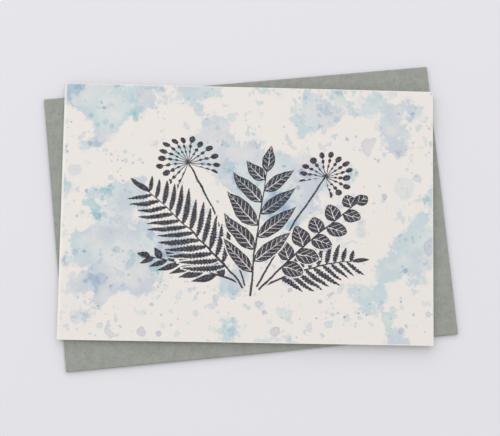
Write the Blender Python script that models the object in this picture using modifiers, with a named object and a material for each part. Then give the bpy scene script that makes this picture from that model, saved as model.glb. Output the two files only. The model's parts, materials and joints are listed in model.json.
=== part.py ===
"""A folded greeting card lying face up on its own envelope.

The envelope lies face up too, so its flaps are underneath: two side flaps folded in under the face,
a bottom flap folded over them, and a pointed seal flap folded over all three. The card is one sheet
of stock folded along its left edge, with the front leaf standing slightly ajar.

World frame: metres, +Z up, +X along the card's long edges. The origin is under the middle of the
envelope, on the surface that it lies on.
"""

from math import radians

import bmesh
import bpy

# The envelope: a C6 blank of coloured paper, turned a little under the card
ENVELOPE_WIDTH = 0.162
ENVELOPE_HEIGHT = 0.114
ENVELOPE_TURN = radians(6.46)
ENVELOPE_PAPER = 0.0002

# The card: one folded sheet, cut to slip into the envelope
CARD_WIDTH = 0.1544
CARD_HEIGHT = 0.1067
CARD_STOCK = 0.0004
CARD_CENTRE_X = -0.001
CARD_CENTRE_Y = 0.0008
CARD_FOLD_INNER_RADIUS = 0.0003
CARD_AJAR = radians(0.25)

# Air left between plies that lie on each other, and between a fold and what it carries
GAP = 0.0003
PLY_STEP = ENVELOPE_PAPER + GAP

# The folded sides of the envelope stop short of its corners, where the blank is cut away
CORNER_RELIEF = 0.0015
CORNER_ROUNDING = 0.0005

# Flaps: sharp point and how far it is rounded back, and the low shoulders beside the fold
SIDE_FLAP_POINT = 0.078
SIDE_FLAP_ROUNDING = 0.014
BOTTOM_FLAP_POINT = 0.082
BOTTOM_FLAP_ROUNDING = 0.018
SEAL_FLAP_POINT = 0.078
SEAL_FLAP_ROUNDING = 0.016
SHOULDER_HEIGHT = 0.008
SHOULDER_LEAN = 0.002
SHOULDER_ROUNDING = 0.003

FOLD_STEPS = 12
ROUNDING_STEPS = 8

# Heights of the plies, counted from the surface upwards
SEAL_FLAP_Z = 0.0
BOTTOM_FLAP_Z = SEAL_FLAP_Z + PLY_STEP
SIDE_FLAP_Z = BOTTOM_FLAP_Z + PLY_STEP
FACE_Z = SIDE_FLAP_Z + PLY_STEP
ENVELOPE_TOP = FACE_Z + ENVELOPE_PAPER
BACK_LEAF_Z = ENVELOPE_TOP + GAP

# The bends that carry the flaps: half of the height from the face's top to the flap's underside
SIDE_FOLD_RADIUS = (ENVELOPE_TOP - SIDE_FLAP_Z) / 2
BOTTOM_FOLD_RADIUS = (ENVELOPE_TOP - BOTTOM_FLAP_Z) / 2
SEAL_FOLD_RADIUS = (ENVELOPE_TOP - SEAL_FLAP_Z) / 2
CARD_FOLD_RADIUS = CARD_FOLD_INNER_RADIUS + CARD_STOCK

PAPER_COLOUR = (0.305, 0.328, 0.287, 1.0)
STOCK_COLOUR = (0.84, 0.80, 0.74, 1.0)
PAPER_ROUGHNESS = 0.85
STOCK_ROUGHNESS = 0.7


def clear_scene():
    for item in list(bpy.data.objects):
        bpy.data.objects.remove(item, do_unlink=True)


def make_material(name, colour, roughness):
    material = bpy.data.materials.new(name)
    material.use_nodes = True
    shader = material.node_tree.nodes["Principled BSDF"]
    shader.inputs["Base Color"].default_value = colour
    shader.inputs["Roughness"].default_value = roughness
    shader.inputs["Metallic"].default_value = 0.0
    return material


def make_empty(name, location, rotation=(0.0, 0.0, 0.0), parent=None):
    """An unseen point that carries pieces: a place, or the axis of a fold."""
    empty = bpy.data.objects.new(name, None)
    empty.empty_display_size = 0.02
    empty.location = location
    empty.rotation_euler = rotation
    empty.parent = parent
    parts.objects.link(empty)
    return empty


def place(name, bm, material, parent, location, turn=0.0):
    """Turns a bmesh into a named object on its parent, turned about Z."""
    mesh = bpy.data.meshes.new(name)
    bm.to_mesh(mesh)
    bm.free()
    mesh.materials.append(material)
    piece = bpy.data.objects.new(name, mesh)
    piece.parent = parent
    piece.location = location
    piece.rotation_euler = (0.0, 0.0, turn)
    parts.objects.link(piece)
    return piece


def thicken(piece, thickness, offset):
    solid = piece.modifiers.new("Thickness", "SOLIDIFY")
    solid.thickness = thickness
    solid.offset = offset
    solid.use_even_offset = True


def flat_panel(name, outline, thickness, material, parent, location, turn=0.0):
    """A flat sheet with its underside at the given place. The outline runs anticlockwise as
    (x, y, rounding), where rounding is how far along its edges a corner is rounded back."""
    bm = bmesh.new()
    corners = [bm.verts.new((x, y, 0.0)) for x, y, _ in outline]
    bm.faces.new(corners)
    for corner, (_, _, rounding) in zip(corners, outline):
        if rounding:
            bmesh.ops.bevel(
                bm,
                geom=[corner],
                offset=rounding,
                offset_type="OFFSET",
                segments=ROUNDING_STEPS,
                profile=0.5,
                affect="VERTICES",
            )
    panel = place(name, bm, material, parent, location, turn)
    thicken(panel, thickness, 1.0)
    return panel


def fold_strip(name, length, radius, thickness, bend, material, parent, location, turn=0.0):
    """A bend of folded sheet. Its axis runs along its own Y at the given place, its outside faces -X,
    and it turns from straight down through the given bend. The radius is its outer one."""
    middle = radius - thickness / 2
    bm = bmesh.new()
    ends = [bm.verts.new((0.0, side * length / 2, -middle)) for side in (-1, 1)]
    edge = bm.edges.new(ends)
    bmesh.ops.spin(
        bm,
        geom=[*ends, edge],
        cent=(0.0, 0.0, 0.0),
        axis=(0.0, 1.0, 0.0),
        angle=bend,
        steps=FOLD_STEPS,
        use_duplicate=False,
    )
    strip = place(name, bm, material, parent, location, turn)
    thicken(strip, thickness, 0.0)
    strip.data.shade_smooth()
    return strip


def face_outline():
    """The envelope's front: full corners, with each side set back between them for its fold."""
    half_width = ENVELOPE_WIDTH / 2
    half_height = ENVELOPE_HEIGHT / 2
    side_line = half_width - SIDE_FOLD_RADIUS - GAP
    corner_x = half_width - CORNER_RELIEF
    corner_y = half_height - CORNER_RELIEF
    outline = []
    for x_sign, y_sign in ((1, 1), (-1, 1), (-1, -1), (1, -1)):
        fold_radius = SEAL_FOLD_RADIUS if y_sign > 0 else BOTTOM_FOLD_RADIUS
        edge_line = half_height - fold_radius - GAP
        corner = [
            (x_sign * side_line, y_sign * corner_y, 0.0),
            (x_sign * half_width, y_sign * corner_y, 0.0),
            (x_sign * half_width, y_sign * half_height, CORNER_ROUNDING),
            (x_sign * corner_x, y_sign * half_height, 0.0),
            (x_sign * corner_x, y_sign * edge_line, 0.0),
        ]
        outline += corner if x_sign == y_sign else corner[::-1]
    return outline


def flap_outline(half_base, point, rounding):
    """A pointed flap whose fold lies along X at y = 0, with a rounded point at +Y."""
    shoulder_x = half_base - SHOULDER_LEAN
    return [
        (-half_base, 0.0, 0.0),
        (half_base, 0.0, 0.0),
        (shoulder_x, SHOULDER_HEIGHT, SHOULDER_ROUNDING),
        (0.0, point, rounding),
        (-shoulder_x, SHOULDER_HEIGHT, SHOULDER_ROUNDING),
    ]


def make_envelope(paper):
    centre = make_empty("envelope_centre", (0.0, 0.0, 0.0), (0.0, 0.0, ENVELOPE_TURN))
    half_width = ENVELOPE_WIDTH / 2
    half_height = ENVELOPE_HEIGHT / 2
    side_fold_length = ENVELOPE_HEIGHT - 2 * (CORNER_RELIEF + GAP)
    long_fold_length = ENVELOPE_WIDTH - 2 * (CORNER_RELIEF + GAP)
    half_turn = radians(180)
    quarter_turn = radians(90)

    flat_panel("envelope_face", face_outline(), ENVELOPE_PAPER, paper, centre, (0.0, 0.0, FACE_Z))

    for side, x_sign in (("left", -1), ("right", 1)):
        fold_x = x_sign * (half_width - SIDE_FOLD_RADIUS)
        fold_strip(
            f"envelope_{side}_fold",
            side_fold_length,
            SIDE_FOLD_RADIUS,
            ENVELOPE_PAPER,
            half_turn,
            paper,
            centre,
            (fold_x, 0.0, ENVELOPE_TOP - SIDE_FOLD_RADIUS),
            0.0 if x_sign < 0 else half_turn,
        )
        flat_panel(
            f"envelope_{side}_flap",
            flap_outline(side_fold_length / 2, SIDE_FLAP_POINT, SIDE_FLAP_ROUNDING),
            ENVELOPE_PAPER,
            paper,
            centre,
            (fold_x - x_sign * GAP, 0.0, SIDE_FLAP_Z),
            x_sign * quarter_turn,
        )

    bottom_y = -half_height + BOTTOM_FOLD_RADIUS
    fold_strip(
        "envelope_bottom_fold",
        long_fold_length,
        BOTTOM_FOLD_RADIUS,
        ENVELOPE_PAPER,
        half_turn,
        paper,
        centre,
        (0.0, bottom_y, ENVELOPE_TOP - BOTTOM_FOLD_RADIUS),
        quarter_turn,
    )
    flat_panel(
        "envelope_bottom_flap",
        flap_outline(long_fold_length / 2, BOTTOM_FLAP_POINT, BOTTOM_FLAP_ROUNDING),
        ENVELOPE_PAPER,
        paper,
        centre,
        (0.0, bottom_y + GAP, BOTTOM_FLAP_Z),
    )

    # The seal flap hangs on its crease and opens by half a turn, out past the top edge
    hinge_y = half_height - SEAL_FOLD_RADIUS
    fold_strip(
        "envelope_seal_crease",
        long_fold_length,
        SEAL_FOLD_RADIUS,
        ENVELOPE_PAPER,
        half_turn,
        paper,
        centre,
        (0.0, hinge_y, ENVELOPE_TOP - SEAL_FOLD_RADIUS),
        -quarter_turn,
    )
    seal_hinge = make_empty("seal_flap_hinge", (0.0, hinge_y, SEAL_FOLD_RADIUS), parent=centre)
    flat_panel(
        "envelope_seal_flap",
        flap_outline(long_fold_length / 2, SEAL_FLAP_POINT, SEAL_FLAP_ROUNDING),
        ENVELOPE_PAPER,
        paper,
        seal_hinge,
        (0.0, -GAP, -SEAL_FOLD_RADIUS),
        half_turn,
    )


def card_leaf(name, stock, parent, base_z):
    """A plain rectangular leaf that reaches from just beside the fold's axis to the card's right edge."""
    length = CARD_WIDTH - CARD_FOLD_RADIUS - GAP
    bm = bmesh.new()
    bmesh.ops.create_cube(bm, size=1.0)
    bmesh.ops.scale(bm, vec=(length, CARD_HEIGHT, CARD_STOCK), verts=bm.verts)
    return place(name, bm, stock, parent, (GAP + length / 2, 0.0, base_z + CARD_STOCK / 2))


def make_card(stock):
    """The back leaf lies on the envelope. The front leaf turns about the middle of the fold."""
    fold_x = CARD_CENTRE_X - CARD_WIDTH / 2 + CARD_FOLD_RADIUS
    fold_z = BACK_LEAF_Z + CARD_FOLD_RADIUS
    fold_axis = make_empty("card_fold_axis", (fold_x, CARD_CENTRE_Y, fold_z))
    front_hinge = make_empty("card_front_hinge", (0.0, 0.0, 0.0), (0.0, -CARD_AJAR, 0.0), fold_axis)
    card_leaf("card_back_leaf", stock, fold_axis, -CARD_FOLD_RADIUS)
    card_leaf("card_front_leaf", stock, front_hinge, CARD_FOLD_INNER_RADIUS)
    fold_strip(
        "card_fold",
        CARD_HEIGHT,
        CARD_FOLD_RADIUS,
        CARD_STOCK,
        radians(180) - CARD_AJAR,
        stock,
        fold_axis,
        (0.0, 0.0, 0.0),
    )


clear_scene()
parts = bpy.data.collections.new("greeting_card_with_envelope")
bpy.context.scene.collection.children.link(parts)
make_envelope(make_material("envelope_paper", PAPER_COLOUR, PAPER_ROUGHNESS))
make_card(make_material("card_stock", STOCK_COLOUR, STOCK_ROUGHNESS))
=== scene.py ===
# %% [markdown]
# # A greeting card on its envelope
#
# This lesson dresses a plain model of a folded card and its envelope, so that it looks like paper.
# The plain model is the frame: it says where each leaf and flap is, and how it moves. Every new
# piece takes its place from the frame, so nothing has to be fitted by eye.

# %% Load the frame
import json
from functools import partialmethod
from math import asin, atan2, cos, degrees, pi, radians, sin

import bmesh
import bpy
import numpy as np
from mathutils import Matrix, Vector


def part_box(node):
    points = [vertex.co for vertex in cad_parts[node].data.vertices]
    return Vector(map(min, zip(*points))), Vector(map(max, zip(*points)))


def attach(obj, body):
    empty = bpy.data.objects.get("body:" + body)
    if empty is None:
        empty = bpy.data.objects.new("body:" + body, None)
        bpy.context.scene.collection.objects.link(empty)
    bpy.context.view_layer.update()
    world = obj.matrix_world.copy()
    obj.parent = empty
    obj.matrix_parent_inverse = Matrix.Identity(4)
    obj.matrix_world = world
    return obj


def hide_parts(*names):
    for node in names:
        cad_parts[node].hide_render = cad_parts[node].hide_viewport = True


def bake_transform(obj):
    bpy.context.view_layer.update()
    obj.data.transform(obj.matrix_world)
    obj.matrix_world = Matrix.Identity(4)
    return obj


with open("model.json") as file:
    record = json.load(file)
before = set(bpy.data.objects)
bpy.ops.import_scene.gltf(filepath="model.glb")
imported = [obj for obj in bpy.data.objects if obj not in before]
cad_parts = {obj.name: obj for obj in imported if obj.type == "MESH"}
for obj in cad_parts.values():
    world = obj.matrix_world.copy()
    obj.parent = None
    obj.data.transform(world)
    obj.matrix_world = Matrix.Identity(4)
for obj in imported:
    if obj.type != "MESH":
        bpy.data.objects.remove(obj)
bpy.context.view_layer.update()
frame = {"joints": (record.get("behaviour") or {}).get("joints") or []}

# %% [markdown]
# ## What the frame measures
#
# A card and an envelope are flat things, so a few sizes say it all: the height of each ply, the
# thickness of the sheet, and the radius of each fold. They are read here from the boxes of the plain
# pieces and from the two joints. The envelope lies turned under the card, so its width and height
# are worked out from the turned box.

# %% Read the sizes
MILLIMETRE = 0.001


def low_and_high(node):
    """The lowest and highest corner of a plain piece."""
    low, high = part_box(node)
    return np.array(low), np.array(high)


def middle_height(node):
    """The height of the middle of a ply that lies flat."""
    low, high = low_and_high(node)
    return (low[2] + high[2]) / 2


joints = {joint["name"]: joint for joint in frame["joints"]}
card_axis = np.array(joints["card_opens"]["pos_m"])
seal_direction = joints["seal_flap_opens"]["axis"]
envelope_turn = atan2(seal_direction[1], seal_direction[0])

back_low, back_high = low_and_high("card_back_leaf")
front_low, front_high = low_and_high("card_front_leaf")
fold_low, _ = low_and_high("card_fold")
stock = back_high[2] - back_low[2]
card_half_height = (back_high[1] - back_low[1]) / 2
leaf_length = back_high[0] - card_axis[0]
card_fold_radius = card_axis[0] - fold_low[0] - stock / 2
front_tilt = asin((front_high[2] - front_low[2] - stock) / (front_high[0] - front_low[0]))

# A rectangle of width w and height h, turned by a, fills a box w cos a + h sin a wide and
# w sin a + h cos a high. The two lines are solved for w and h.
face_low, face_high = low_and_high("envelope_face")
paper = face_high[2] - face_low[2]
face_extent = face_high[:2] - face_low[:2]
turned = np.array([[cos(envelope_turn), sin(envelope_turn)], [sin(envelope_turn), cos(envelope_turn)]])
envelope_half = np.linalg.solve(turned, face_extent) / 2
face_z = middle_height("envelope_face")

card_size = np.array([leaf_length + card_fold_radius + stock / 2, 2 * card_half_height]) / MILLIMETRE
envelope_size = 2 * envelope_half / MILLIMETRE
print(f"card {card_size[0]:.1f} x {card_size[1]:.1f} mm, "
      f"front leaf ajar by {degrees(front_tilt):.2f} degrees")
print(f"envelope {envelope_size[0]:.1f} x {envelope_size[1]:.1f} mm, paper {paper / MILLIMETRE:.2f} mm")

# %% [markdown]
# ## A sheet is a grid of points
#
# Paper has no inside worth modelling: it is a surface with a thickness. So each sheet starts as a
# grid of points along its middle, worked out with numpy. A Solidify modifier then gives it its two
# faces and its cut edge, each with a material of its own, and a very small Bevel softens the cut.
# The thickness stays a modifier, so that a sheet keeps its thickness wherever it bends.

# %% Make a sheet from a grid
MERGE_DISTANCE = 0.001 * MILLIMETRE
SHEET_MAP = "Sheet"
EDGE_DISTANCE = "Edge distance"
MAP_UNIT = 0.1  # one unit of the sheet's map is 100 mm of paper


def grid_faces(steps_along, steps_across, first=0):
    """Corner numbers of every cell of a grid, wound so that along crossed with across is outside."""
    index = np.arange(steps_along * steps_across).reshape(steps_along, steps_across) + first
    return np.stack([index[:-1, :-1], index[1:, :-1], index[1:, 1:], index[:-1, 1:]], -1).reshape(-1, 4)


def make_sheet(name, grids, thickness, materials, edge_distance=None):
    """One sheet from several grids of (points, map), joined where their points meet.
    Points are shaped (along, across, 3), and the map holds the paper's own flat coordinates.
    The edge distance, where it is given, is kept on each point for a material to read."""
    counts = [points.shape[0] * points.shape[1] for points, _ in grids]
    firsts = np.cumsum([0, *counts[:-1]])
    vertices = np.concatenate([points.reshape(-1, 3) for points, _ in grids])
    flat = np.concatenate([flat_map.reshape(-1, 2) for _, flat_map in grids]) / MAP_UNIT
    sides = [points.shape[:2] for points, _ in grids]
    faces = np.concatenate([grid_faces(*side, first) for side, first in zip(sides, firsts)])
    mesh = bpy.data.meshes.new(name)
    mesh.vertices.add(len(vertices))
    mesh.vertices.foreach_set("co", vertices.astype(np.float32).ravel())
    mesh.loops.add(faces.size)
    mesh.loops.foreach_set("vertex_index", faces.astype(np.int32).ravel())
    mesh.polygons.add(len(faces))
    mesh.polygons.foreach_set("loop_start", np.arange(0, faces.size, 4, dtype=np.int32))
    mesh.update(calc_edges=True)
    layer = mesh.uv_layers.new(name=SHEET_MAP)
    layer.uv.foreach_set("vector", flat[faces.ravel()].astype(np.float32).ravel())
    if edge_distance is not None:
        kept = mesh.attributes.new(EDGE_DISTANCE, "FLOAT", "POINT")
        kept.data.foreach_set("value", edge_distance.astype(np.float32).ravel())
    weld(mesh)
    mesh.shade_smooth()
    for material in materials:
        mesh.materials.append(material)
    sheet = bpy.data.objects.new(name, mesh)
    bpy.context.scene.collection.objects.link(sheet)
    add_thickness(sheet, thickness)
    print(f"{name}: {len(mesh.vertices)} points, {len(mesh.polygons)} faces")
    return sheet


def weld(mesh):
    """Joins the grids along their shared folds, and closes the points where a flap runs out."""
    bm = bmesh.new()
    bm.from_mesh(mesh)
    bmesh.ops.remove_doubles(bm, verts=bm.verts, dist=MERGE_DISTANCE)
    bm.to_mesh(mesh)
    bm.free()


# %% Give it a thickness
CUT_ROUNDING = 0.04 * MILLIMETRE
CUT_ROUNDING_STEPS = 2
SHARPEST_BEND = radians(50)


def add_thickness(sheet, thickness):
    """Half the thickness goes to each side of the grid. The outside has the sheet's first material,
    the inside its second, and the cut edge its third. Only an edge that turns by more than the
    sharpest bend is a cut, and is rounded."""
    solid = sheet.modifiers.new("Thickness", "SOLIDIFY")
    solid.thickness = thickness
    solid.offset = 0.0
    solid.material_offset = 1
    solid.material_offset_rim = 2
    bevel = sheet.modifiers.new("Cut edge", "BEVEL")
    bevel.width = CUT_ROUNDING
    bevel.segments = CUT_ROUNDING_STEPS
    bevel.limit_method = "ANGLE"
    bevel.angle_limit = SHARPEST_BEND
    bevel.harden_normals = True


# %% [markdown]
# ## Numbers that vary over a surface
#
# Patterns such as fibres, washes and printed leaves are sums and comparisons, worked out for each
# point of the paper. In Blender they are chains of Math nodes. The small class below writes such a
# chain the way numpy writes a sum, so that the formulas further down can be read.

# %% A field of numbers
def feed(tree, socket, value):
    """Gives an input socket a field, another socket, or a plain value."""
    if isinstance(value, Field):
        value = value.socket
    if isinstance(value, bpy.types.NodeSocket):
        tree.links.new(value, socket)
    else:
        socket.default_value = value


class Field:
    """A number that varies over a surface, held by the socket of a node. Each sign and each word at
    the end stands for one kind of Math node, so a + b makes an ADD node that reads a and b."""

    def __init__(self, tree, socket):
        self.tree = tree
        self.socket = socket

    def work(self, operation, *others):
        node = self.tree.nodes.new("ShaderNodeMath")
        node.operation = operation
        for place, value in enumerate((self, *others)):
            feed(self.tree, node.inputs[place], value)
        return Field(self.tree, node.outputs[0])

    def rise(self, low, high):
        """0 below low, 1 above high, and a smooth slope between. With low above high it falls."""
        node = self.tree.nodes.new("ShaderNodeMapRange")
        node.interpolation_type = "SMOOTHSTEP"
        feed(self.tree, node.inputs["Value"], self)
        feed(self.tree, node.inputs["From Min"], low)
        feed(self.tree, node.inputs["From Max"], high)
        return Field(self.tree, node.outputs["Result"])

    def __rsub__(self, other):
        return self * -1.0 + other

    __add__ = __radd__ = partialmethod(work, "ADD")
    __sub__ = partialmethod(work, "SUBTRACT")
    __mul__ = __rmul__ = partialmethod(work, "MULTIPLY")
    __truediv__ = partialmethod(work, "DIVIDE")
    __lt__ = partialmethod(work, "LESS_THAN")
    __gt__ = partialmethod(work, "GREATER_THAN")
    size = partialmethod(work, "ABSOLUTE")
    floor = partialmethod(work, "FLOOR")
    fraction = partialmethod(work, "FRACT")
    sine = partialmethod(work, "SINE")
    cosine = partialmethod(work, "COSINE")
    angle_from = partialmethod(work, "ARCTAN2")
    power = partialmethod(work, "POWER")
    most = partialmethod(work, "MAXIMUM")
    least = partialmethod(work, "MINIMUM")


def split(tree, vector):
    """The x and y fields of a vector socket."""
    node = tree.nodes.new("ShaderNodeSeparateXYZ")
    tree.links.new(vector, node.inputs[0])
    return Field(tree, node.outputs[0]), Field(tree, node.outputs[1])


def join(tree, x, y):
    """A vector socket from two fields or plain numbers."""
    node = tree.nodes.new("ShaderNodeCombineXYZ")
    feed(tree, node.inputs[0], x)
    feed(tree, node.inputs[1], y)
    return node.outputs[0]


def noise(tree, vector, scale, detail=3.0, roughness=0.5, seed=0.0):
    """Cloudy noise from 0 to 1. The seed moves it to another place, so no two patterns match."""
    node = tree.nodes.new("ShaderNodeTexNoise")
    node.noise_dimensions = "4D"
    settings = {"Vector": vector, "W": seed, "Scale": scale, "Detail": detail, "Roughness": roughness}
    for name, value in settings.items():
        feed(tree, node.inputs[name], value)
    return Field(tree, node.outputs["Fac"])


# %% Start a node group
def start_group(name, numbers, outputs):
    """A shader group that reads coordinates in millimetres and some numbers, given with their
    defaults. Returns its tree, a dictionary of its inputs, and a function that connects an output."""
    tree = bpy.data.node_groups.new(name, "ShaderNodeTree")
    tree.interface.new_socket("Millimetres", in_out="INPUT", socket_type="NodeSocketVector")
    for socket_name, value in numbers.items():
        socket = tree.interface.new_socket(socket_name, in_out="INPUT", socket_type="NodeSocketFloat")
        socket.default_value = value
    for socket_name in outputs:
        tree.interface.new_socket(socket_name, in_out="OUTPUT", socket_type="NodeSocketFloat")
    entry = tree.nodes.new("NodeGroupInput")
    leave = tree.nodes.new("NodeGroupOutput")
    given = {socket_name: Field(tree, entry.outputs[socket_name]) for socket_name in numbers}
    given["Millimetres"] = entry.outputs["Millimetres"]

    def put_out(socket_name, value):
        feed(tree, leave.inputs[socket_name], value)

    return tree, given, put_out


def use_group(tree, group, millimetres, **numbers):
    """Places a group in a tree. The names of its numbers have underscores for spaces."""
    node = tree.nodes.new("ShaderNodeGroup")
    node.node_tree = group
    feed(tree, node.inputs["Millimetres"], millimetres)
    for name, value in numbers.items():
        feed(tree, node.inputs[name.replace("_", " ").capitalize()], value)
    return node


# %% [markdown]
# ## What paper is made of
#
# Paper is felted fibre. From a step away that shows as a faint cloudiness, where the pulp settled
# unevenly, and as short flecks of lighter and darker fibre. Close to, the surface has a tooth. One
# group makes all of it from the flat coordinates of the sheet, so that card, envelope and cut edges
# share it at strengths of their own.

# %% The paper group
FIBRES_PER_MILLIMETRE = 2.2
GRAINS_PER_MILLIMETRE = 3.2


def build_paper_group():
    """The cloud is a broad noise and a fine one. A fibre is a noise drawn out in one direction, and
    the greater of two that cross counts. Flecks are the fibres' peaks, less the fine noise's lows."""
    tree, given, put_out = start_group(
        "paper fibres", {"Cloud size": 9.0, "Fleck size": 0.5}, ["Cloud", "Fleck", "Tooth"])
    flat = given["Millimetres"]
    broad = noise(tree, flat, given["Cloud size"].power(-1.0), detail=2.0, roughness=0.6, seed=1.0)
    fine = noise(tree, flat, given["Fleck size"].power(-1.0), detail=3.0, roughness=0.65, seed=2.0)
    x, y = split(tree, flat)
    one_way = join(tree, x * 0.45 + y * 0.2, y * 1.6 - x * 0.7)
    other_way = join(tree, x * 1.5 + y * 0.9, y * 0.4 - x * 0.25)
    fibre = noise(tree, one_way, FIBRES_PER_MILLIMETRE, detail=2.0, seed=3.0)
    fibre = fibre.most(noise(tree, other_way, FIBRES_PER_MILLIMETRE, detail=2.0, seed=4.0))
    tooth = noise(tree, flat, GRAINS_PER_MILLIMETRE, detail=4.0, roughness=0.7, seed=5.0)
    put_out("Cloud", broad * 0.7 + fine * 0.3)
    put_out("Fleck", fibre.rise(0.56, 0.75) - fine.rise(0.45, 0.28) * 0.6)
    put_out("Tooth", tooth + fibre * 0.6)
    return tree


paper_group = build_paper_group()
print("paper group:", len(paper_group.nodes), "nodes")


# %% Flat coordinates in millimetres
def paper_coordinates(tree):
    """The sheet's own flat coordinates, in millimetres from its middle."""
    source = tree.nodes.new("ShaderNodeUVMap")
    source.uv_map = SHEET_MAP
    scale = tree.nodes.new("ShaderNodeMapping")
    scale.inputs["Scale"].default_value = (MAP_UNIT / MILLIMETRE,) * 3
    tree.links.new(source.outputs[0], scale.inputs["Vector"])
    return scale.outputs[0]


def mix_colours(tree, share, first, second, blend="MIX"):
    """A colour socket between two colours, each a socket or a plain colour."""
    node = tree.nodes.new("ShaderNodeMix")
    node.data_type = "RGBA"
    node.blend_type = blend
    for place, value in ((0, share), (6, first), (7, second)):
        feed(tree, node.inputs[place], value)
    return node.outputs[2]


# %% A paper material
SHADER = "Principled BSDF"
PAPER_GLOSS = 0.25
FLECK_STRENGTH = 0.5


def start_paper(name, base, cloud_tint, fleck_tint, roughness, tooth_height, cloud_size, fleck_size):
    """A material with a paper body. Returns it, and the socket of its colour to lay a print over."""
    material = bpy.data.materials.new(name)
    material.use_nodes = True
    tree = material.node_tree
    shader = tree.nodes[SHADER]
    flat = paper_coordinates(tree)
    fibres = use_group(tree, paper_group, flat, cloud_size=cloud_size, fleck_size=fleck_size)
    cloud = Field(tree, fibres.outputs["Cloud"]).rise(0.3, 0.7)
    fleck = Field(tree, fibres.outputs["Fleck"])
    light_fleck = fleck.most(0.0) * FLECK_STRENGTH
    dark_fleck = (fleck * -1.0).most(0.0) * FLECK_STRENGTH
    colour = mix_colours(tree, cloud, base, cloud_tint)
    colour = mix_colours(tree, light_fleck, colour, fleck_tint)
    colour = mix_colours(tree, dark_fleck, colour, cloud_tint, "MULTIPLY")
    feed(tree, shader.inputs["Base Color"], colour)
    feed(tree, shader.inputs["Roughness"], cloud * -0.06 + fleck * 0.05 + roughness)
    shader.inputs["Specular IOR Level"].default_value = PAPER_GLOSS
    bump = tree.nodes.new("ShaderNodeBump")
    bump.inputs["Strength"].default_value = 1.0
    bump.inputs["Distance"].default_value = tooth_height
    feed(tree, bump.inputs["Height"], fibres.outputs["Tooth"])
    feed(tree, shader.inputs["Normal"], bump.outputs[0])
    return material, colour


# %% [markdown]
# ## Folding a flap
#
# Seen from the side, a flap leaves the flat sheet, goes round a half circle, and comes back under
# it. So a flap is a path of (distance out, height), and a half width at each step of that path. The
# half width gives the flap its outline: a low shoulder beside the fold, a straight slope, and a
# rounded point.

# %% The outline of a flap
SHOULDER_HEIGHT = 8 * MILLIMETRE
SHOULDER_LEAN = 2 * MILLIMETRE
SHOULDER_ROUNDING = 3 * MILLIMETRE
ROUNDING_STEPS = 10
SLOPE_STEPS = 24
FOLD_STEPS = 15
COLUMNS = 25
ACROSS = np.linspace(0, 1, COLUMNS)


def rounded_corner(before, corner, after, rounding, share=1.0):
    """Points round a corner: a quarter circle squeezed between its two edges. Angle a goes from 0 to
    90 degrees, and the point is the corner, plus (1 - sin a) of the way back, plus (1 - cos a) of the
    way on. A share of a half stops at the middle of the corner."""
    before, corner, after = (np.array(point, float) for point in (before, corner, after))
    back = (before - corner) / np.linalg.norm(before - corner) * rounding
    onward = (after - corner) / np.linalg.norm(after - corner) * rounding
    angle = np.linspace(0, pi / 2 * share, ROUNDING_STEPS)[:, None]
    return corner + (1 - np.sin(angle)) * back + (1 - np.cos(angle)) * onward


def flap_profile(half_base, point, rounding):
    """The edge of half a flap, as rows of (distance from the fold, half width)."""
    shoulder = (SHOULDER_HEIGHT, half_base - SHOULDER_LEAN)
    shoulder_arc = rounded_corner((0, half_base), shoulder, (point, 0), SHOULDER_ROUNDING)
    mirrored = (shoulder[0], -shoulder[1])
    tip_arc = rounded_corner(shoulder, (point, 0), mirrored, rounding, 0.5)
    slope = np.linspace(shoulder_arc[-1], tip_arc[0], SLOPE_STEPS)[1:-1]
    return np.concatenate([[(0, half_base)], shoulder_arc, slope, tip_arc])


def corner_ends(radius, drop, flap_end, fold_end, crossing):
    """Where the rows of a fold stop at a corner of the envelope. A fold of radius R that has dropped
    by d stands out by the square root of R squared less (R - d) squared, so each of two crossing
    folds is widened by as much as the other stands out, and they meet. Below the smaller radius the
    rows draw in to the flap, by the cube of the share of the drop that is left."""
    meeting = min(radius, crossing)
    shallow = np.minimum(drop, meeting)
    widened = fold_end + np.sqrt(crossing ** 2 - (crossing - shallow) ** 2)
    share = np.clip((drop - meeting) / (2 * radius - meeting), 0, 1)
    return widened + (flap_end - widened) * share ** 3


def folded_path(radius, profile, fold_ends):
    """A flap's path from the flat sheet round the fold: distance out, drop, where each row starts
    and ends across the sheet, and paper used. On the fold, angle a goes from 0 to 180 degrees: the
    distance is r sin a and the drop r (1 - cos a). On the flap the distance goes back, and the drop
    stays 2 r."""
    angle = np.linspace(0, pi, FOLD_STEPS)
    distance, half_width = profile.T
    fold_drop = radius * (1 - np.cos(angle))
    out = np.concatenate([radius * np.sin(angle), -distance[1:]])
    drop = np.concatenate([fold_drop, np.full(len(distance) - 1, 2 * radius)])
    used = np.concatenate([radius * angle, pi * radius + distance[1:]])
    sides = []
    for sign, (fold_end, crossing) in zip((-1, 1), fold_ends):
        on_fold = corner_ends(radius, fold_drop, half_width[0], sign * fold_end, crossing)
        sides.append(sign * np.concatenate([on_fold, half_width[1:]]))
    return out, drop, sides[0], sides[1], used


# %% Place a folded flap
def flap_grid(reach, direction, radius, profile, fold_ends):
    """A grid for one flap. Reach is how far the fold is from the envelope's middle, direction is the
    way out, in the envelope's own axes, and each fold end has its place and the radius of the fold
    that crosses there. A point is (reach + distance out) along the way out, plus its place across
    from one side of its row to the other, and its height is the face's less the drop."""
    out, drop, low, high, used = folded_path(radius, profile, fold_ends)
    outward = np.array(direction, float)
    sideways = np.array([-outward[1], outward[0]])
    distance = (reach + out)[:, None, None]
    side = (low[:, None] + (high - low)[:, None] * ACROSS[None, :])[..., None]
    flat_place = distance * outward + side * sideways
    height = np.broadcast_to((face_z - drop)[:, None, None], (*side.shape[:2], 1))
    flat_map = (reach + used)[:, None, None] * outward + side * sideways
    return on_envelope(np.concatenate([flat_place, height], -1)), flat_map


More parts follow.
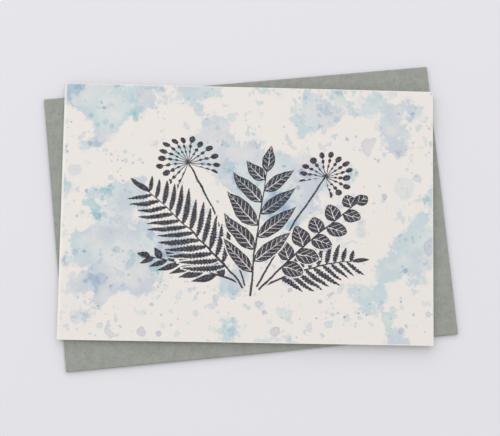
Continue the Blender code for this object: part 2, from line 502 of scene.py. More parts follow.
def on_envelope(points):
    """From the envelope's own axes to the frame's, by a turn about Z: x cos a - y sin a, and
    x sin a + y cos a."""
    turned_points = points.copy()
    turned_points[..., 0] = points[..., 0] * cos(envelope_turn) - points[..., 1] * sin(envelope_turn)
    turned_points[..., 1] = points[..., 0] * sin(envelope_turn) + points[..., 1] * cos(envelope_turn)
    return turned_points


# %% [markdown]
# ## The envelope
#
# An envelope is one sheet. Its face is up, and its flaps are folded under it: the two sides first,
# then the bottom, then the pointed flap that seals it. The face and the three glued flaps make one
# mesh. The seal flap and its crease make another.
# At each corner the sheet is cut away a little behind the folds, so that the flaps don't meet.

# %% Envelope paper
SAGE = (0.284, 0.297, 0.26, 1.0)
SAGE_LIGHT = (0.336, 0.356, 0.324, 1.0)
SAGE_FIBRE = (0.45, 0.46, 0.42, 1.0)
SAGE_INSIDE = (0.32, 0.34, 0.30, 1.0)
SAGE_CUT = (0.36, 0.38, 0.34, 1.0)
INSIDE_ROUGHNESS = 0.86


def sage_paper(name, base, roughness, tooth_height, cloud_size, fleck_size=0.8):
    return start_paper(
        name, base, SAGE_LIGHT, SAGE_FIBRE, roughness, tooth_height * MILLIMETRE, cloud_size, fleck_size)


envelope_outside, _ = sage_paper("envelope paper", SAGE, 0.82, tooth_height=0.03, cloud_size=2.4)
envelope_inside, _ = sage_paper(
    "envelope inside", SAGE_INSIDE, INSIDE_ROUGHNESS, tooth_height=0.02, cloud_size=7.0)
envelope_cut, _ = sage_paper(
    "envelope cut edge", SAGE_CUT, 0.9, tooth_height=0.01, cloud_size=2.0, fleck_size=0.4)
envelope_materials = [envelope_outside, envelope_inside, envelope_cut]

# %% [markdown]
# ## The gummed strip
#
# The seal flap's inner side has a band of dry gum along its two slopes. It could be drawn in the
# sheet's flat coordinates, but a band that follows an outline is easier to make from the distance to
# that outline. So each point of the flap keeps its distance to the edge, and the material reads it.

# %% The gummed strip, in millimetres
GUM_COLOUR = (0.36, 0.35, 0.26, 1.0)
GUM_INNER = 13.0
GUM_OUTER = 2.0
GUM_START = 10.0
GUM_BLUR = 0.4
GUM_FADE = 1.0
GUM_WAVER = 1.2
GUM_TINT = 0.55
GUM_SMOOTHNESS = 0.5


def build_gummed_inside():
    """The gum lies between two distances from the edge, and starts some way from the fold. It is
    smoother than paper, a little yellower, and seals its fibres."""
    material, colour = sage_paper(
        "gummed flap inside", SAGE_INSIDE, INSIDE_ROUGHNESS, tooth_height=0.02, cloud_size=7.0)
    tree = material.node_tree
    shader = tree.nodes[SHADER]
    kept = tree.nodes.new("ShaderNodeAttribute")
    kept.attribute_name = EDGE_DISTANCE
    flat = paper_coordinates(tree)
    _, y = split(tree, flat)
    waver = (noise(tree, flat, 0.25, detail=2.0, seed=21.0) - 0.5) * GUM_WAVER
    edge = Field(tree, kept.outputs["Fac"]) / MILLIMETRE + waver
    band = edge.rise(GUM_OUTER, GUM_OUTER + GUM_BLUR) * edge.rise(GUM_INNER + GUM_BLUR, GUM_INNER)
    gum = band * (y - seal_reach / MILLIMETRE).rise(GUM_START, GUM_START + GUM_FADE)
    feed(tree, shader.inputs["Base Color"], mix_colours(tree, gum * GUM_TINT, colour, GUM_COLOUR))
    feed(tree, shader.inputs["Roughness"], gum * -GUM_SMOOTHNESS + INSIDE_ROUGHNESS)
    return material


# %% Face and glued flaps
CORNER_RELIEF = 1.5 * MILLIMETRE
GAP = 0.3 * MILLIMETRE
SIDE_FLAP_POINT = 78 * MILLIMETRE
SIDE_FLAP_ROUNDING = 14 * MILLIMETRE
BOTTOM_FLAP_POINT = 82 * MILLIMETRE
BOTTOM_FLAP_ROUNDING = 18 * MILLIMETRE
SEAL_FLAP_POINT = 78 * MILLIMETRE
SEAL_FLAP_ROUNDING = 16 * MILLIMETRE

side_radius = (face_z - middle_height("envelope_left_flap")) / 2
bottom_radius = (face_z - middle_height("envelope_bottom_flap")) / 2
seal_radius = (face_z - middle_height("envelope_seal_flap")) / 2
side_reach = envelope_half[0] - side_radius - paper / 2
bottom_reach = envelope_half[1] - bottom_radius - paper / 2
seal_reach = envelope_half[1] - seal_radius - paper / 2
side_half_base = envelope_half[1] - CORNER_RELIEF - GAP
long_half_base = envelope_half[0] - CORNER_RELIEF - GAP

long_fold_ends = [(-side_reach, side_radius), (side_reach, side_radius)]
left_fold_ends = [(-seal_reach, seal_radius), (bottom_reach, bottom_radius)]
right_fold_ends = [(-bottom_reach, bottom_radius), (seal_reach, seal_radius)]


def face_grid():
    """The flat face: x goes from side fold to side fold and y from the bottom fold to the seal's, in
    even steps, and the height is the same all over."""
    x = side_reach * (2 * ACROSS - 1)
    y = (seal_reach + bottom_reach) * ACROSS - bottom_reach
    grid_x, grid_y = np.meshgrid(x, y, indexing="ij")
    points = np.stack([grid_x, grid_y, np.full_like(grid_x, face_z)], -1)
    return on_envelope(points), points[..., :2].copy()


side_profile = flap_profile(side_half_base, SIDE_FLAP_POINT, SIDE_FLAP_ROUNDING)
bottom_profile = flap_profile(long_half_base, BOTTOM_FLAP_POINT, BOTTOM_FLAP_ROUNDING)
seal_profile = flap_profile(long_half_base, SEAL_FLAP_POINT, SEAL_FLAP_ROUNDING)
envelope_body = make_sheet(
    "envelope_body",
    [
        face_grid(),
        flap_grid(side_reach, (-1, 0), side_radius, side_profile, left_fold_ends),
        flap_grid(side_reach, (1, 0), side_radius, side_profile, right_fold_ends),
        flap_grid(bottom_reach, (0, -1), bottom_radius, bottom_profile, long_fold_ends),
    ],
    paper,
    envelope_materials,
)
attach(envelope_body, "envelope_and_card_back")
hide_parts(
    "envelope_face",
    "envelope_left_fold",
    "envelope_right_fold",
    "envelope_bottom_fold",
    "envelope_left_flap",
    "envelope_right_flap",
    "envelope_bottom_flap",
)

# %% Seal flap and its crease
SHORTEST = 1e-12  # keeps a step of no length from dividing by zero


def distance_to_outline(radius, profile, fold_ends):
    """For each point of a flap, the shortest way to its edge. A point's way to one straight piece of
    the outline goes square to it where it can, and to its nearer end where it can't."""
    _, _, low, high, used = folded_path(radius, profile, fold_ends)
    side = low[:, None] + (high - low)[:, None] * ACROSS[None, :]
    points = np.stack([np.broadcast_to(used[:, None], side.shape), side], -1)[:, :, None, :]
    outline = np.concatenate([np.stack([used, low], -1), np.stack([used, high], -1)[::-1]])
    start, step = outline[:-1], np.diff(outline, axis=0)
    length_squared = np.maximum((step ** 2).sum(-1), SHORTEST)
    share = np.clip(((points - start) * step).sum(-1) / length_squared, 0, 1)
    return np.linalg.norm(points - start - share[..., None] * step, axis=-1).min(-1)


seal_flap = make_sheet(
    "envelope_seal_sheet",
    [flap_grid(seal_reach, (0, 1), seal_radius, seal_profile, long_fold_ends)],
    paper,
    [envelope_outside, build_gummed_inside(), envelope_cut],
    distance_to_outline(seal_radius, seal_profile, long_fold_ends),
)
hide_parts("envelope_seal_flap", "envelope_seal_crease")
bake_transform(seal_flap)

# %% [markdown]
# ## Watercolour
#
# A wash is a pool of thin paint. Its middle is even, its rim is darker, because pigment drifts to the
# edge as the water dries, and its outline is cloudy. Drops are flicked off a brush: each is a small
# round pool, and each has its own size and its own share of pigment. A painted picture could carry
# both, but it would blur close to. Both are random patterns here, which stay sharp at any distance
# and can be as large as the card without repeating.

# %% The wash group
RIM_END = 2.2  # in softnesses above the level


def build_wash_group():
    """Cloudy noise is cut at a level: above it there is paint. The rim lies just above the level, and
    the ragged share says how broken the outline is."""
    tree, given, put_out = start_group(
        "watercolour wash",
        {"Pool size": 26.0, "Level": 0.52, "Softness": 0.03, "Ragged": 0.1, "Seed": 1.0},
        ["Pigment"],
    )
    flat = given["Millimetres"]
    seed = given["Seed"]
    level = given["Level"]
    soft = given["Softness"]
    frayed = noise(tree, flat, 0.55, detail=4.0, roughness=0.62, seed=seed + 2.0) - 0.5
    cloud = noise(tree, flat, given["Pool size"].power(-1.0), seed=seed) + frayed * given["Ragged"]
    pool = cloud.rise(level, level + soft)
    rim = cloud.rise(level + soft * RIM_END, level + soft) * pool
    grain = noise(tree, flat, 1.7, roughness=0.7, seed=seed + 3.0)
    drift = noise(tree, flat, 0.1, roughness=0.55, seed=seed + 5.0).rise(0.25, 0.75)
    put_out("Pigment", pool * (drift * 0.75 + 0.35) * (grain * 0.6 + 0.7) + rim * (drift * 0.3 + 0.05))
    return tree


wash_group = build_wash_group()
print("wash group:", len(wash_group.nodes), "nodes")

# %% The drop group
CELL_WOBBLE = 0.35  # these are shares of the spacing
SMALLEST_DROP = 0.2
DROP_GROWTH = 0.34
DROP_RIM_START = 0.12
DROP_RIM_FULL = 0.04


def build_drop_group():
    """Space is shared out among scattered points. Some of them carry a drop, more of them where the
    brush was flicked. A drop's radius is a random share of the spacing, and its pigment and hue are
    random too."""
    tree, given, put_out = start_group(
        "watercolour drops",
        {"Spacing": 6.0, "Share": 0.4, "Softness": 0.04, "Seed": 1.0},
        ["Pigment", "Hue"],
    )
    flat = given["Millimetres"]
    seed = given["Seed"]
    cell_scale = given["Spacing"].power(-1.0)
    x, y = split(tree, flat)
    wobble_x = noise(tree, flat, cell_scale * 3.0, detail=2.0, seed=seed) - 0.5
    wobble_y = noise(tree, flat, cell_scale * 3.0, detail=2.0, seed=seed + 7.0) - 0.5
    moved_x = x * cell_scale + wobble_x * CELL_WOBBLE
    moved_y = y * cell_scale + wobble_y * CELL_WOBBLE
    cells = tree.nodes.new("ShaderNodeTexVoronoi")
    cells.voronoi_dimensions = "4D"
    cells.inputs["Scale"].default_value = 1.0
    feed(tree, cells.inputs["Vector"], join(tree, moved_x, moved_y))
    feed(tree, cells.inputs["W"], seed * 7.3)
    parts = tree.nodes.new("ShaderNodeSeparateColor")
    tree.links.new(cells.outputs["Color"], parts.inputs[0])
    size, lot, hue = (Field(tree, output) for output in parts.outputs)
    flicked = noise(tree, flat, 0.055, detail=2.0, seed=seed + 11.0).rise(0.38, 0.62) * 0.85 + 0.15
    distance = Field(tree, cells.outputs["Distance"])
    radius = (size.power(1.5) * DROP_GROWTH + SMALLEST_DROP) * (lot < given["Share"] * flicked)
    inside = distance.rise(radius, radius - given["Softness"])
    rim = distance.rise(radius - DROP_RIM_START, radius - DROP_RIM_FULL) * inside
    strength = size * -0.45 + 0.95
    put_out("Pigment", inside * strength * (rim * 0.3 + 0.75))
    put_out("Hue", hue)
    return tree


drop_group = build_drop_group()
print("drop group:", len(drop_group.nodes), "nodes")

# %% [markdown]
# ## Stamped sprigs
#
# The front carries a posy, stamped in charcoal ink. A sprig is a stem with leaves at equal steps, so
# one leaf is enough: a point beside the stem slides back along the leaf's angle to the stem, and the
# nearest step tells which leaf it belongs to. From there two numbers are left, how far along the leaf
# the point is and how far off its middle line. All sprigs share one group, and differ in their
# numbers. A seed head shares out the angle round its middle in the same way. Everything below is in
# millimetres of paper, and says how far a point is inside a shape: below 0 it is outside.

# %% A stem, and one leaf
STALK = {"Base x": 0.0, "Base y": 0.0, "Lean": 0.0, "Length": 50.0, "Bend": 0.0, "Seed": 1.0}
FAR_OUTSIDE = 100.0
INK_EDGE = (-0.05, 0.1)


def place_on_stem(tree, given):
    """The place of a point across and up a stem that leans to the right by an angle, and its height
    as a share of the stem. The stem's line runs aside by its bend times that share squared, and to
    the other side below its base."""
    x, y = split(tree, given["Millimetres"])
    off_x = x - given["Base x"]
    off_y = y - given["Base y"]
    sine = given["Lean"].sine()
    cosine = given["Lean"].cosine()
    across = off_x * cosine - off_y * sine
    up = off_x * sine + off_y * cosine
    height = up / given["Length"]
    return across - given["Bend"] * height * height.size(), up, height


def draw_lot(tree, number, seed):
    """A random share from 0 to 1, the same all over one leaf or ray."""
    chance = tree.nodes.new("ShaderNodeTexWhiteNoise")
    chance.noise_dimensions = "2D"
    feed(tree, chance.inputs["Vector"], join(tree, number, seed))
    return Field(tree, chance.outputs["Value"])


def leaf_reach(along, across, length, half_width, roundness):
    """How far a point is inside a leaf. At a share p of its length, the leaf's half width is
    sin(180 degrees times p to the power 0.8), to the power of its roundness."""
    share = (along / length).most(0.0).least(1.0)
    half = (share.power(0.8) * pi).sine().most(0.0).power(roundness) * half_width
    ends = (along + 0.05).least(length - along + 0.05)
    return (half - across.size()).least(ends), share, half


# %% Which leaf, and its veins
RIGHT_SIDE = 37.0
VEIN_SPACING = 2.3
VEIN_SLOPE = 1.1
RIB_HALF_WIDTH = 0.24


def nearest_leaf(tree, given, across_stem, up):
    """Where the nearest leaf meets the stem, its random share, and the point's place along and across
    it. Leaves on the right are half a step higher, and draw lots of their own."""
    spacing = given["Spacing"]
    on_right = across_stem > 0.0
    stagger = on_right * spacing * 0.5
    out = across_stem.size()
    sine = given["Leaf angle"].sine()
    cosine = given["Leaf angle"].cosine()
    slid = up - out * cosine / sine - out * out * given["Leaf curve"] - stagger
    step = (slid / spacing + 0.5).floor()
    off = slid - step * spacing
    random_share = draw_lot(tree, step + on_right * RIGHT_SIDE, given["Seed"])
    return step * spacing + stagger, random_share, out / sine + off * cosine, off * sine


def vein_lines(from_foot, off_rib, part, edge):
    """The bare lines in a leaf: a middle rib that narrows towards the tip, and side veins at equal
    steps, which slope forwards and stop short of the edge."""
    mid_rib = (RIB_HALF_WIDTH - part * 0.2 - off_rib).rise(-0.04, 0.06) * (part > 0.06)
    phase = ((from_foot - off_rib * VEIN_SLOPE) / VEIN_SPACING).fraction()
    side_vein = (0.06 - (phase - 0.5).size()).rise(-0.03, 0.03) * edge.rise(0.35, 0.6)
    return mid_rib.most(side_vein * 0.8)


def pick(first, second, choice):
    """The first field where the choice is 0, and the second where it is 1."""
    return first + (second - first) * choice


# %% The sprig group
LEAVES = {
    "Spacing": 9.0,
    "First leaf": 8.0,
    "Leaf length": 18.0,
    "Leaf half width": 3.2,
    "Leaf angle": radians(50),
    "Leaf curve": 0.01,
    "Roundness": 1.0,
    "Veins": 1.0,
    "Teeth": 0.0,
}
FULLEST_PLACE = 0.4  # the largest leaves are at this share of the stem
LAST_LEAF = 0.96
TIP_START = 0.95
TOOTH_SPACING = 1.15
STEM_HALF_WIDTH = 0.5
SPRIG_CLEARING = (-0.75, -0.55)


def build_sprig_group():
    """Leaves beside the stem, one leaf at its tip, and the stem, which thins towards the tip. Cover
    is the same shape, grown by the bare rim that it keeps round itself."""
    tree, given, put_out = start_group("stamped sprig", {**STALK, **LEAVES}, ["Ink", "Cover"])
    length = given["Length"]
    across_stem, up, height = place_on_stem(tree, given)
    foot, random_share, along, across = nearest_leaf(tree, given, across_stem, up)
    from_fullest = foot / length - FULLEST_PLACE
    growth = (1.0 - from_fullest * from_fullest * 1.5) * (random_share * 0.22 + 0.85)
    leaf_length = given["Leaf length"] * growth.most(0.1)
    half_width = given["Leaf half width"] * (growth * 0.6 + 0.4).most(0.1)
    tooth = (along * (2 * pi / TOOTH_SPACING)).cosine() * given["Teeth"] * 0.5
    half_width = half_width * (1.0 - given["Teeth"] * 0.5 + tooth)
    inside, share, half = leaf_reach(along, across, leaf_length, half_width, given["Roundness"])
    no_leaf = (foot < given["First leaf"]).most(foot > length * LAST_LEAF)
    inside = inside - no_leaf * FAR_OUTSIDE

    tip_along = up - length * TIP_START
    tip_length = given["Leaf length"] * 0.6
    tip_width = given["Leaf half width"] * 0.75
    tip_inside, tip_share, tip_half = leaf_reach(
        tip_along, across_stem, tip_length, tip_width, given["Roundness"])
    on_tip = tip_inside > inside
    inside = inside.most(tip_inside)
    stem = (1.0 - height * 0.6) * STEM_HALF_WIDTH - across_stem.size()
    stem = stem.least(up).least(length - up)

    off_rib = pick(across.size(), across_stem.size(), on_tip)
    edge = pick(half, tip_half, on_tip) - off_rib
    part = pick(share, tip_share, on_tip)
    pale = vein_lines(pick(along, tip_along, on_tip), off_rib, part, edge) * given["Veins"]
    put_out("Ink", (inside.rise(*INK_EDGE) * (1.0 - pale)).most(stem.rise(*INK_EDGE)))
    put_out("Cover", inside.most(stem).rise(*SPRIG_CLEARING))
    return tree


sprig_group = build_sprig_group()
print("sprig group:", len(sprig_group.nodes), "nodes")

# %% The seed head group
OPENING = 2.35  # rays stand up to this angle from straight up, in radians
SEED_PLACES_AND_SIZES = ((1.0, 1.15), (0.72, 0.7), (0.48, 0.5))
RAY_HALF_WIDTH = 0.2
STALK_HALF_WIDTH = 0.42
SEED_HEAD_CLEARING = (-0.7, -0.5)


def build_seed_head_group():
    """Rays leave the middle at equal angles. A point's angle tells its ray, and its distance from the
    middle times the angle that is left over tells how far off the ray it is. Each ray carries seeds
    at shares of its length, and they are larger towards its end."""
    tree, given, put_out = start_group(
        "stamped seed head", {**STALK, "Radius": 10.0, "Rays": 16.0}, ["Ink", "Cover"])
    across_stem, up, _ = place_on_stem(tree, given)
    above = up - given["Length"]
    radius = (across_stem * across_stem + above * above).power(0.5)
    angle = across_stem.angle_from(above)
    step_angle = given["Rays"].power(-1.0) * (2 * pi)
    step = (angle / step_angle + 0.5).floor()
    off_ray = radius * (angle - step * step_angle)
    ray_length = given["Radius"] * (draw_lot(tree, step, given["Seed"]) * 0.22 + 0.78)
    in_reach = (angle.size() < OPENING) * FAR_OUTSIDE - FAR_OUTSIDE
    ray = (RAY_HALF_WIDTH - off_ray.size()).least(ray_length - radius).least(radius) + in_reach
    inside = ray.most((STALK_HALF_WIDTH - across_stem.size()).least(up).least(above * -1.0))
    for share, size in SEED_PLACES_AND_SIZES:
        along = radius - ray_length * share
        seed = size - (along * along * 0.6 + off_ray * off_ray).power(0.5)
        inside = inside.most(seed + in_reach)
    put_out("Ink", inside.rise(*INK_EDGE))
    put_out("Cover", inside.rise(*SEED_HEAD_CLEARING))
    return tree


seed_head_group = build_seed_head_group()
print("seed head group:", len(seed_head_group.nodes), "nodes")

# %% [markdown]
# ## The posy
#
# The sprigs are stamped one over another. Where a later one lies over an earlier one, a thin rim of
# bare paper is left round it, so each leaf stays readable. A stamp is never perfect: its edges waver
# by a tenth of a millimetre, and here and there the ink misses the tooth of the paper.

# %% The plants, in millimetres from the middle of the card
FERN = dict(leaf_curve=0.012, roundness=0.6, veins=0.0, teeth=0.35)
LEFT_SEED_HEAD = dict(
    base_x=-1.0, base_y=-30.0, lean=radians(-21), length=56.0, bend=-5.0, radius=12.0, rays=19.0, seed=3.0)
RIGHT_SEED_HEAD = dict(
    base_x=4.0, base_y=-30.0, lean=radians(27), length=54.0, bend=4.0, radius=10.0, rays=16.0, seed=8.0)
LOW_LEAVES = dict(
    base_x=-3.0, base_y=-30.0, lean=radians(-63), length=40.0, bend=-7.0, spacing=5.2, first_leaf=7.0,
    leaf_length=10.0, leaf_half_width=1.7, leaf_angle=radians(42), leaf_curve=0.02, veins=0.0, seed=2.0)
LOW_FERN = dict(
    FERN, base_x=6.0, base_y=-30.0, lean=radians(64), length=40.0, bend=7.0, spacing=3.4, first_leaf=8.0,
    leaf_length=11.0, leaf_half_width=1.35, leaf_angle=radians(60), leaf_curve=0.02, seed=5.0)
TALL_FERN = dict(
    FERN, base_x=-2.0, base_y=-31.0, lean=radians(-40), length=58.0, bend=-6.0, spacing=3.8,
    first_leaf=10.0, leaf_length=16.0, leaf_half_width=1.5, leaf_angle=radians(58), seed=6.0)
ROUND_LEAVES = dict(
    base_x=5.0, base_y=-31.0, lean=radians(43), length=56.0, bend=5.0, spacing=8.4, first_leaf=10.0,
    leaf_length=9.5, leaf_half_width=3.6, leaf_angle=radians(62), leaf_curve=0.0, roundness=0.62, seed=4.0)
MIDDLE_LEAVES = dict(
    base_x=1.5, base_y=-34.0, lean=radians(3), length=54.0, bend=3.0, spacing=9.6, first_leaf=9.0,
    leaf_length=20.0, leaf_half_width=3.5, leaf_angle=radians(50), leaf_curve=0.008, seed=1.0)
PLANTS_BACK_TO_FRONT = [
    (seed_head_group, LEFT_SEED_HEAD),
    (seed_head_group, RIGHT_SEED_HEAD),
    (sprig_group, LOW_LEAVES),
    (sprig_group, LOW_FERN),
    (sprig_group, TALL_FERN),
    (sprig_group, ROUND_LEAVES),
    (sprig_group, MIDDLE_LEAVES),
]

# %% The posy group
SWAY = 3.0
SHAKE = 0.5


def hand_drawn(tree, flat, place, seed):
    """Moves a coordinate by a slow sway and a fine shake, so that no line is ruled."""
    sway = (noise(tree, flat, 0.08, detail=2.0, seed=seed) - 0.5) * SWAY
    shake = (noise(tree, flat, 1.4, detail=2.0, roughness=0.6, seed=seed + 1.0) - 0.5) * SHAKE
    return place + sway + shake


def build_posy_group():
    """Each plant clears what it covers and then adds its own ink. Where the ink misses the paper's
    tooth, and more so where the stamp was pressed lightly, some of it is taken away again."""
    tree, given, put_out = start_group("stamped posy", {}, ["Ink"])
    flat = given["Millimetres"]
    x, y = split(tree, flat)
    drawn = join(tree, hand_drawn(tree, flat, x, 11.0), hand_drawn(tree, flat, y, 13.0))
    ink = None
    for group, numbers in PLANTS_BACK_TO_FRONT:
        plant = use_group(tree, group, drawn, **numbers)
        plant_ink = Field(tree, plant.outputs["Ink"])
        cover = Field(tree, plant.outputs["Cover"])
        ink = plant_ink if ink is None else (ink * (1.0 - cover)).most(plant_ink)
    missed = noise(tree, flat, 1.9, detail=4.0, roughness=0.7, seed=15.0).rise(0.6, 0.7)
    light_press = noise(tree, flat, 0.12, detail=2.0, seed=16.0).rise(0.35, 0.7)
    put_out("Ink", ink * (1.0 - missed * (light_press * 0.6 + 0.3)))
    return tree


posy_group = build_posy_group()
print("posy group:", len(posy_group.nodes), "nodes, made of", len(PLANTS_BACK_TO_FRONT), "plants")

# %% [markdown]
# ## The print on the card
#
# The front is printed in the order in which it would be painted: four washes, four sizes of drops,
# then the stamp. Each paint is laid on with Multiply, because watercolour is clear and the paper shows
# through it. Where the hue of a wash drifts, it goes from one tint to another, as on wet paper. The
# ink covers what is under it, so it is mixed in instead.

# %% Card stock and paints
IVORY = (0.797, 0.764, 0.72, 1.0)
IVORY_WARM = (0.822, 0.766, 0.718, 1.0)
IVORY_FIBRE = (0.85, 0.825, 0.785, 1.0)
# The next ivory is lighter than the face: a painted highlight on the cut edge, used again along the fold.
IVORY_CUT_AND_HIGHLIGHT = (0.87, 0.84, 0.79, 1.0)
INK = (0.026, 0.025, 0.033, 1.0)
INK_THIN = (0.11, 0.11, 0.13, 1.0)
BLUE = (0.685, 0.852, 0.93, 1.0)
LAVENDER = (0.695, 0.79, 0.905, 1.0)
DEEP_LAVENDER = (0.60, 0.66, 0.84, 1.0)
TURQUOISE = (0.54, 0.81, 0.84, 1.0)
DROP_BLUE = (0.43, 0.74, 0.82, 1.0)
DROP_VIOLET = (0.27, 0.33, 0.65, 1.0)
WASHES = [
    (BLUE, LAVENDER, dict(pool_size=34.0, level=0.52, softness=0.035, ragged=0.13, seed=2.0), 1.0),
    (DEEP_LAVENDER, LAVENDER, dict(pool_size=22.0, level=0.60, softness=0.05, ragged=0.12, seed=5.0), 0.85),
    (TURQUOISE, BLUE, dict(pool_size=15.0, level=0.62, softness=0.04, ragged=0.14, seed=9.0), 0.8),
    (LAVENDER, BLUE, dict(pool_size=5.0, level=0.61, softness=0.03, ragged=0.12, seed=12.0), 0.8),
]
DROPS = [
    (dict(spacing=13.0, share=0.30, softness=0.06, seed=1.0), 0.5),
    (dict(spacing=6.0, share=0.42, softness=0.08, seed=2.0), 0.7),
    (dict(spacing=3.0, share=0.40, softness=0.11, seed=3.0), 1.0),
    (dict(spacing=1.6, share=0.30, softness=0.16, seed=4.0), 1.0),
]


def ivory_paper(name):
    return start_paper(name, IVORY, IVORY_WARM, IVORY_FIBRE, 0.72, 0.02 * MILLIMETRE, 16.0, 0.6)


card_outside, card_colour = ivory_paper("printed card stock")
card_inside, _ = ivory_paper("card stock inside")
# The cut edge is painted lighter than the face, a painted highlight where it catches the light.
card_cut, _ = start_paper(
    "card cut edge", IVORY_CUT_AND_HIGHLIGHT, IVORY_WARM, IVORY_FIBRE, 0.85, 0.01 * MILLIMETRE, 3.0, 0.3)

# %% Print the front
# Widths in millimetres, and strength, of a lighter line: partly rubbed print, partly painted highlight.
FOLD_WEAR_AND_HIGHLIGHT_WIDTH = 0.6
CUT_WEAR_AND_HIGHLIGHT_WIDTH = 0.55
WEAR_AND_HIGHLIGHT = 0.8


def print_on(material, paper_colour):
    """Washes, then drops, then the stamp, each laid over what is there. Along the fold and the cut
    edges a lighter ivory is painted in, partly rubbed print and partly a painted highlight."""
    tree = material.node_tree
    flat = paper_coordinates(tree)
    colour = paper_colour
    drift = noise(tree, flat, 0.045, detail=2.0, seed=18.0).rise(0.4, 0.6)
    for first_tint, second_tint, numbers, strength in WASHES:
        wash = use_group(tree, wash_group, flat, **numbers)
        share = (Field(tree, wash.outputs["Pigment"]) * strength).least(1.0)
        tint = mix_colours(tree, drift, first_tint, second_tint)
        colour = mix_colours(tree, share, colour, tint, "MULTIPLY")
    for numbers, strength in DROPS:
        drops = use_group(tree, drop_group, flat, **numbers)
        share = (Field(tree, drops.outputs["Pigment"]) * strength).least(1.0)
        hue = Field(tree, drops.outputs["Hue"]).rise(0.4, 0.85)
        tint = mix_colours(tree, hue, DROP_BLUE, DROP_VIOLET)
        colour = mix_colours(tree, share, colour, tint, "MULTIPLY")
    posy = use_group(tree, posy_group, flat)
    thin = noise(tree, flat, 1.3, detail=2.0, roughness=0.6, seed=17.0).rise(0.44, 0.6)
    ink_colour = mix_colours(tree, thin, INK, INK_THIN)
    colour = mix_colours(tree, posy.outputs["Ink"], colour, ink_colour)
    x, y = split(tree, flat)
    half_length = leaf_length / 2 / MILLIMETRE
    from_fold = x + half_length
    from_cut = (half_length - x).least(card_half_height / MILLIMETRE - y.size())
    # Painted highlight and wear: the fold and the cut edges are lightened towards the lighter ivory.
    wear_and_highlight = from_fold.rise(FOLD_WEAR_AND_HIGHLIGHT_WIDTH, 0.0).most(from_cut.rise(CUT_WEAR_AND_HIGHLIGHT_WIDTH, 0.0))
    colour = mix_colours(tree, wear_and_highlight * WEAR_AND_HIGHLIGHT, colour, IVORY_CUT_AND_HIGHLIGHT)
    feed(tree, tree.nodes[SHADER].inputs["Base Color"], colour)
    print(f"{material.name}: {len(WASHES)} washes, {len(DROPS)} sizes of drops and a posy")


print_on(card_outside, card_colour)

# %% [markdown]
# ## The card
#
# The card is one sheet of stiff stock with a rounded fold at its left edge. The back leaf lies flat
# on the envelope. The front leaf springs away from the fold and stands a little ajar, with a slight
# bow, because the stock remembers being flat. The fold is made in one sheet with the front leaf.

# %% Back leaf
LEAF_COLUMNS = 49
LEAF_ROWS = 33
card_y = card_axis[1]
card_rows = np.linspace(-card_half_height, card_half_height, LEAF_ROWS)


def back_leaf_grid():
    """From the free edge to the fold: height is the axis's, less the radius of the fold."""
    reach = np.linspace(leaf_length, 0, LEAF_COLUMNS)
    x, y = np.meshgrid(card_axis[0] + reach, card_y + card_rows, indexing="ij")
    z = np.full_like(x, card_axis[2] - card_fold_radius)
    used = -pi * card_fold_radius - reach - leaf_length / 2
    flat_map = np.stack(np.meshgrid(used, card_rows, indexing="ij"), -1)
    return np.stack([x, y, z], -1), flat_map


back_leaf = make_sheet("card_back_sheet", [back_leaf_grid()], stock, [card_inside, card_inside, card_cut])
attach(back_leaf, "envelope_and_card_back")
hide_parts("card_back_leaf")

# %% Fold and front leaf
LEAF_BOW = 0.35 * MILLIMETRE
EDGE_CURL = 0.12 * MILLIMETRE
CARD_FOLD_STEPS = 18


def front_leaf_grid():
    """Round the fold, then out along the front leaf. On the fold, angle a goes from straight down to
    square on the leaf: x is -r sin a and height -r cos a. On the leaf, at a share s of its length,
    the bow adds sin(pi s) times its height, and the two long edges curl up by the square of their
    distance from the middle, growing towards the free edge. The leaf is then tilted ajar."""
    angle = np.linspace(0, pi - front_tilt, CARD_FOLD_STEPS)
    fold_x, fold_z = -card_fold_radius * np.sin(angle), -card_fold_radius * np.cos(angle)
    share = np.linspace(0, 1, LEAF_COLUMNS)[1:]
    rise = card_fold_radius + LEAF_BOW * np.sin(pi * share)
    out = leaf_length * share
    leaf_x = out * cos(front_tilt) - rise * sin(front_tilt)
    leaf_z = out * sin(front_tilt) + rise * cos(front_tilt)
    x, y = np.meshgrid(np.concatenate([fold_x, leaf_x]), card_rows, indexing="ij")
    z = np.broadcast_to(np.concatenate([fold_z, leaf_z])[:, None], x.shape).copy()
    z[CARD_FOLD_STEPS:] += EDGE_CURL * share[:, None] ** 2 * (card_rows / card_half_height) ** 2
    used = np.concatenate([card_fold_radius * (angle - angle[-1]), out]) - leaf_length / 2
    flat_map = np.stack(np.meshgrid(used, card_rows, indexing="ij"), -1)
    return np.stack([x, y, z], -1) + card_axis, flat_map


front_materials = [card_outside, card_inside, card_cut]
front_leaf = make_sheet("card_front_sheet", [front_leaf_grid()], stock, front_materials)
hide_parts("card_front_leaf", "card_fold")
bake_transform(front_leaf)

# %% [markdown]
# ## The room
#
# The card lies on a plain pale table. The floor is one square, so large that no view shows its edge,
# and it lies a hair below the paper, because two surfaces at one height would flicker. The light is
# one large soft lamp, high up beyond the card's top edge and a little to the left, and a pale sky from
# everywhere. A smaller lamp would draw harder shadows. So the card throws a narrow, soft shadow
# below it and to its right. The camera looks almost straight down.

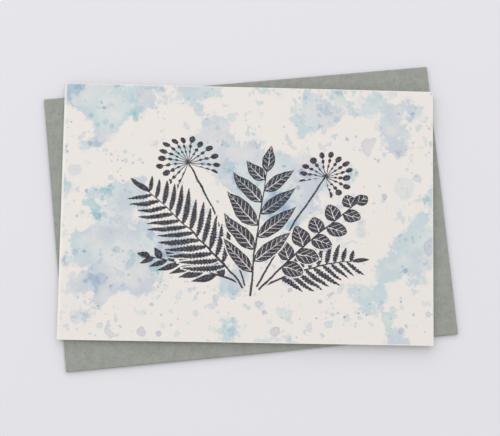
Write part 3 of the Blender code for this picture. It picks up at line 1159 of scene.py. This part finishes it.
# %% Floor
FLOOR_SIZE = 20.0
FLOOR_Z = -0.02 * MILLIMETRE
FLOOR_COLOUR = (0.772, 0.766, 0.795, 1.0)
FLOOR_ROUGHNESS = 0.9
FLOOR_GLOSS = 0.1
half_floor = FLOOR_SIZE / 2
corner_signs = ((-1, -1), (1, -1), (1, 1), (-1, 1))
floor_corners = [(x * half_floor, y * half_floor, FLOOR_Z) for x, y in corner_signs]
floor_mesh = bpy.data.meshes.new("floor")
floor_mesh.from_pydata(floor_corners, [], [(0, 1, 2, 3)])
floor = bpy.data.objects.new("floor", floor_mesh)
bpy.context.scene.collection.objects.link(floor)
floor_paint = bpy.data.materials.new("pale table")
floor_paint.use_nodes = True
floor_shader = floor_paint.node_tree.nodes[SHADER]
floor_shader.inputs["Base Color"].default_value = FLOOR_COLOUR
floor_shader.inputs["Roughness"].default_value = FLOOR_ROUGHNESS
floor_shader.inputs["Specular IOR Level"].default_value = FLOOR_GLOSS
floor_mesh.materials.append(floor_paint)
print(f"floor {FLOOR_SIZE:.0f} m wide")

# %% Light
SKY_COLOUR = (1.005, 1.0, 0.995, 1.0)
SKY_STRENGTH = 0.705
LAMP_PLACE = Vector((-0.27, 0.72, 1.15))
LAMP_COLOUR = (0.985, 0.99, 1.03)
LAMP_SIZE = 2.2
LAMP_POWER = 12.6
world = bpy.data.worlds.new("soft sky")
world.use_nodes = True
sky = world.node_tree.nodes["Background"]
sky.inputs["Color"].default_value = SKY_COLOUR
sky.inputs["Strength"].default_value = SKY_STRENGTH
bpy.context.scene.world = world
lamp_data = bpy.data.lights.new("soft box", "AREA")
lamp_data.shape = "SQUARE"
lamp_data.size = LAMP_SIZE
lamp_data.energy = LAMP_POWER
lamp_data.color = LAMP_COLOUR
lamp = bpy.data.objects.new("soft box", lamp_data)
lamp.location = LAMP_PLACE
lamp.rotation_euler = (-LAMP_PLACE).to_track_quat("-Z", "Y").to_euler()
bpy.context.scene.collection.objects.link(lamp)
bpy.context.scene.view_settings.view_transform = "Standard"
print(f"lamp {LAMP_SIZE} m wide, {LAMP_PLACE.length:.2f} m away")

# %% Camera
FOCAL_PIXELS = 1419.2
PICTURE_WIDTH = 500
SENSOR_WIDTH = 36.0
CAMERA_DISTANCE = 0.5914
CAMERA_TILT = radians(-7.70)
CAMERA_SWAY = radians(2.84)
CAMERA_SHIFT = Vector((-0.00003, 0.00052, 0.0))
PICTURE_TURN = radians(0.83)
camera_data = bpy.data.cameras.new("camera")
camera_data.sensor_width = SENSOR_WIDTH
camera_data.lens = FOCAL_PIXELS / PICTURE_WIDTH * camera_data.sensor_width
camera = bpy.data.objects.new("camera", camera_data)
tilt_and_sway = Matrix.Rotation(CAMERA_TILT, 4, "X") @ Matrix.Rotation(CAMERA_SWAY, 4, "Y")
lift = Matrix.Translation(Vector((0, 0, CAMERA_DISTANCE)) - CAMERA_SHIFT)
camera.matrix_world = Matrix.Rotation(PICTURE_TURN, 4, "Z") @ tilt_and_sway.inverted() @ lift
bpy.context.scene.collection.objects.link(camera)
bpy.context.scene.camera = camera
print("camera at", [round(value, 3) for value in camera.matrix_world.translation])
